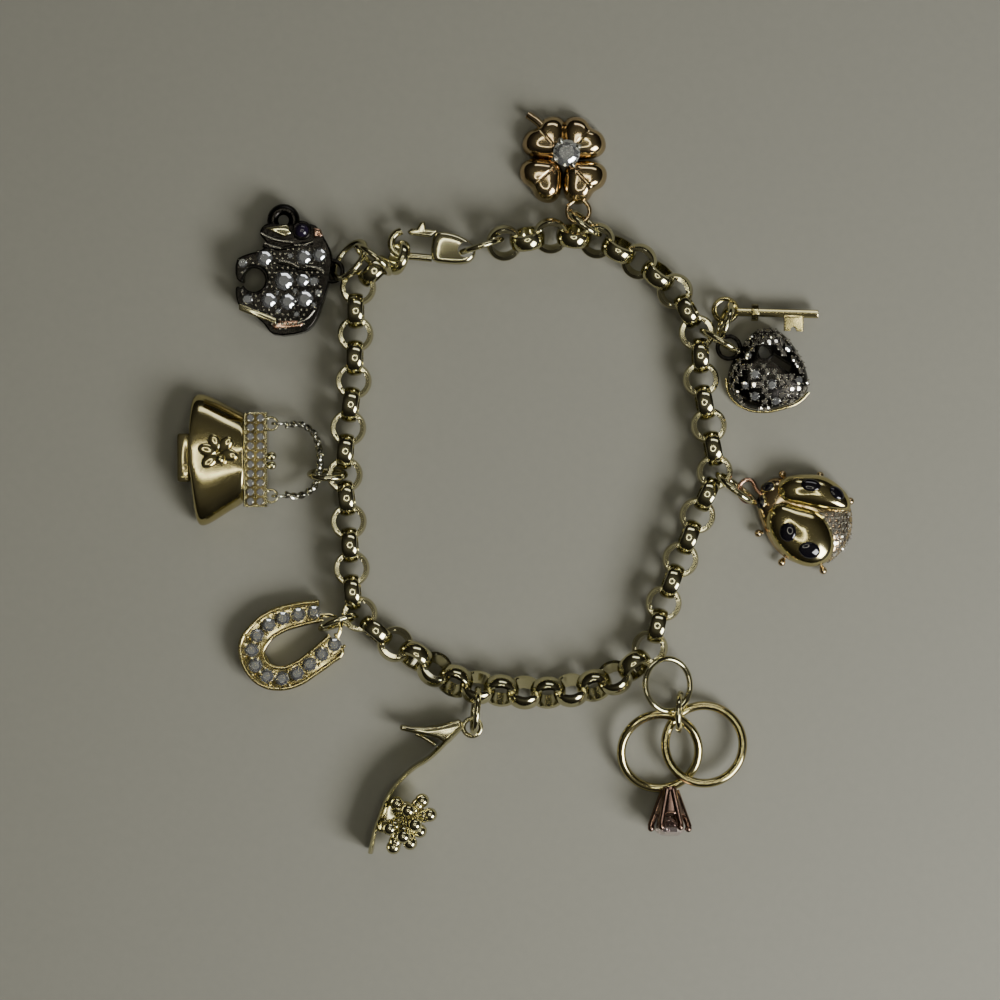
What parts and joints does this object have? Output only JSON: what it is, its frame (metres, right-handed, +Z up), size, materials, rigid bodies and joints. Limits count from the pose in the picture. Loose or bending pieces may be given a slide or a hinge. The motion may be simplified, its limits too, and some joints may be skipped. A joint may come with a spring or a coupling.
{
  "type": "charm bracelet",
  "caption": "Gold belcher chain charm bracelet with a lobster clasp and eight charms, lying in a loop on a table.",
  "frame": {"origin": "middle of the bracelet's footprint, on the table it lies on", "axes": "+Z up off the table, +Y towards the clasp side of the loop"},
  "size_m": [0.0914, 0.0998, 0.0075],
  "materials": {
    "pale_gold": "polished pale yellow",
    "yellow_gold": "polished yellow",
    "rose_gold": "polished rose",
    "black_rhodium": "satin black with set stones",
    "clear_stone": "faceted",
    "dark_stone": "polished blue-black"
  },
  "bodies": {
    "bracelet": {"chain_left": "pale_gold", "chain_right": "pale_gold", "clasp_body": "pale_gold", "clasp_jump_ring": "pale_gold", "elephant_ring_lower": "pale_gold", "elephant_ring_upper": "pale_gold", "bag_frame": "pale_gold", "bag_handle": "pale_gold", "bag_jump_ring": "pale_gold", "horseshoe_jump_ring": "pale_gold", "mule_body": "pale_gold", "mule_jump_ring": "pale_gold", "rings_bail": "pale_gold", "rings_jump_ring": "pale_gold", "ladybug_jump_ring": "pale_gold", "padlock_jump_ring": "pale_gold", "key_jump_ring": "pale_gold", "clover_jump_ring": "pale_gold", "bag_body": "yellow_gold", "bag_flower": "yellow_gold", "horseshoe": "yellow_gold", "plain_ring": "yellow_gold", "ladybug_body": "yellow_gold", "ladybug_wing_upper": "yellow_gold", "ladybug_wing_lower": "yellow_gold", "key": "yellow_gold", "clover_body": "yellow_gold", "solitaire_ring": "rose_gold", "elephant_body": "black_rhodium", "heart_padlock": "black_rhodium", "solitaire_stone": "clear_stone", "clover_stone": "clear_stone", "elephant_eye": "dark_stone", "ladybug_eye_1": "dark_stone", "ladybug_eye_2": "dark_stone", "ladybug_spot_upper_1": "dark_stone", "ladybug_spot_upper_2": "dark_stone", "ladybug_spot_lower_1": "dark_stone", "ladybug_spot_lower_2": "dark_stone"},
    "clasp_lever": {"clasp_lever": "pale_gold"}
  },
  "joints": [
    {"name": "clasp_lever_hinge", "type": "hinge", "parent": "bracelet", "child": "clasp_lever", "pos_m": [-0.01077, 0.03275, 0.0024], "axis": [0, 0, 1], "range_deg": [0, 15], "stiffness_Nm_per_rad": 0.0005}
  ]
}
